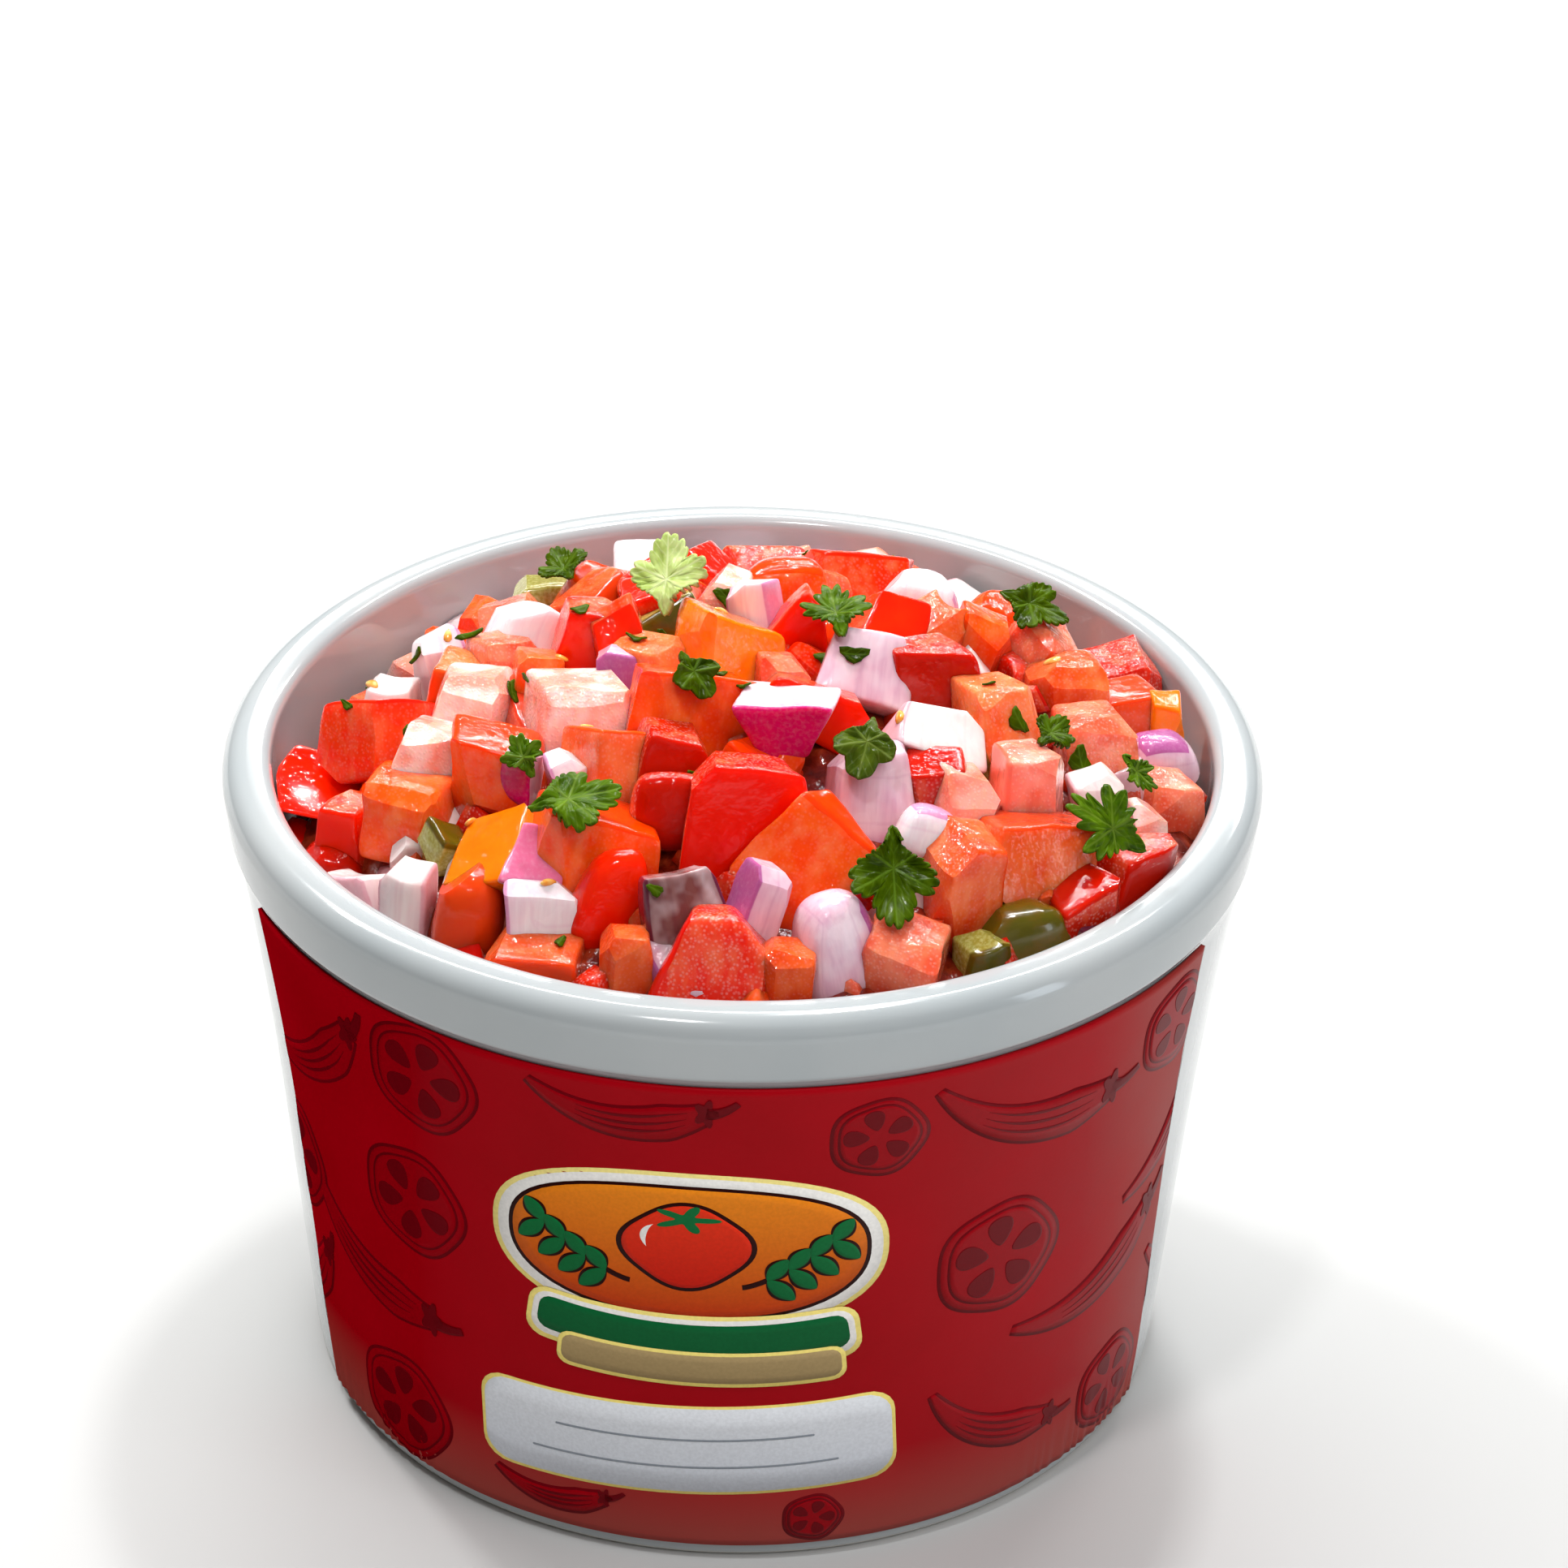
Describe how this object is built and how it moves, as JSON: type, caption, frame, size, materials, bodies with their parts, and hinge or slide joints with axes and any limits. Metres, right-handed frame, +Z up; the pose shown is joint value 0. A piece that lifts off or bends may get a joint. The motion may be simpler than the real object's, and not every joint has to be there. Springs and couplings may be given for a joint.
{
  "type": "pico de gallo in a bowl",
  "caption": "Mounded diced tomato, red onion, green chilli and coriander salsa in a tapered white glazed bowl with a rounded rim and a red paper wrap label.",
  "frame": {"origin": "centre of the foot on the surface the bowl stands on", "axes": "+Z up out of the bowl's mouth, -Y towards the middle of the label, +X to the right seen from there"},
  "size_m": [0.117, 0.117, 0.0981],
  "materials": {
    "glazed_white": "glossy white glaze",
    "label_paper": "satin deep red printed paper",
    "salsa": "wet glossy diced vegetables",
    "coriander": "wet green leaf"
  },
  "bodies": {
    "root": {"bowl": "glazed_white", "label": "label_paper", "salsa_heap": "salsa", "leaf_01": "coriander", "leaf_02": "coriander", "leaf_03": "coriander", "leaf_04": "coriander", "leaf_05": "coriander", "leaf_06": "coriander", "leaf_07": "coriander", "leaf_08": "coriander", "leaf_09": "coriander", "leaf_10": "coriander", "leaf_11": "coriander", "leaf_12": "coriander"}
  },
  "joints": []
}
